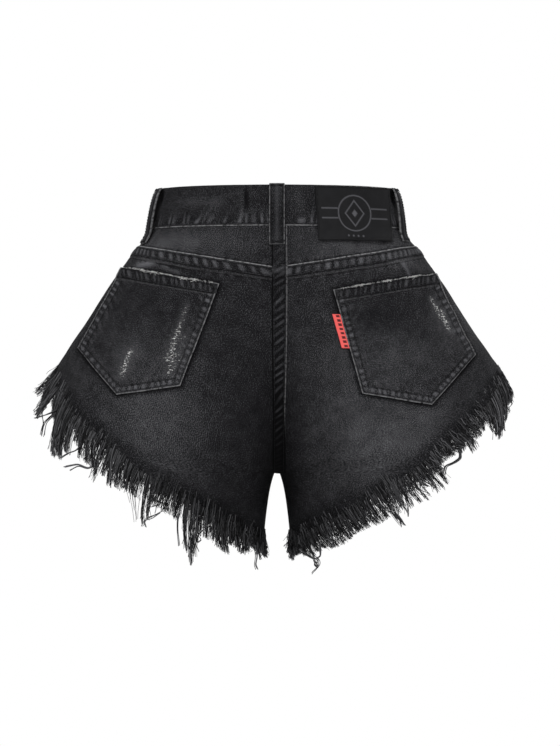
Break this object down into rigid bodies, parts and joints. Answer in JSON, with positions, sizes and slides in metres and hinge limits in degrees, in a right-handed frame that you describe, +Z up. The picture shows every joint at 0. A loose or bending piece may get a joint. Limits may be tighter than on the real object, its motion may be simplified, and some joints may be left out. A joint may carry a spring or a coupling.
{
  "type": "flared denim shorts with frayed hems",
  "caption": "High-waisted flared denim shorts, hollow as when worn, with a V yoke, patch pockets on the seat, belt loops, a leather patch and long frayed hems.",
  "frame": {"origin": "centre of the waistband at the middle of its height, where the wearer's waist holds the garment", "axes": "+Z up the wearer's body, +X to the wearer's left, -Y to the front; the seat with its pockets faces +Y"},
  "size_m": [0.4924, 0.2572, 0.3825],
  "materials": {
    "black_denim": "washed black cotton twill, faded on the seat",
    "frayed_yarn": "loose black and grey cotton yarn",
    "black_leather": "matte black leather with a blind-pressed plain pattern",
    "red_tab": "woven coral red tape",
    "gunmetal": "dark antique metal"
  },
  "bodies": {
    "root": {"waistband": "black_denim", "yoke_left": "black_denim", "yoke_right": "black_denim", "back_left": "black_denim", "back_right": "black_denim", "front_left": "black_denim", "front_right": "black_denim", "pocket_left": "black_denim", "pocket_right": "black_denim", "belt_loop_back": "black_denim", "belt_loop_side_left": "black_denim", "belt_loop_side_right": "black_denim", "belt_loop_front_left": "black_denim", "belt_loop_front_right": "black_denim", "leather_patch": "black_leather", "pocket_tab": "red_tab", "waist_button": "gunmetal", "fringe_left": "frayed_yarn", "fringe_right": "frayed_yarn"}
  },
  "joints": []
}
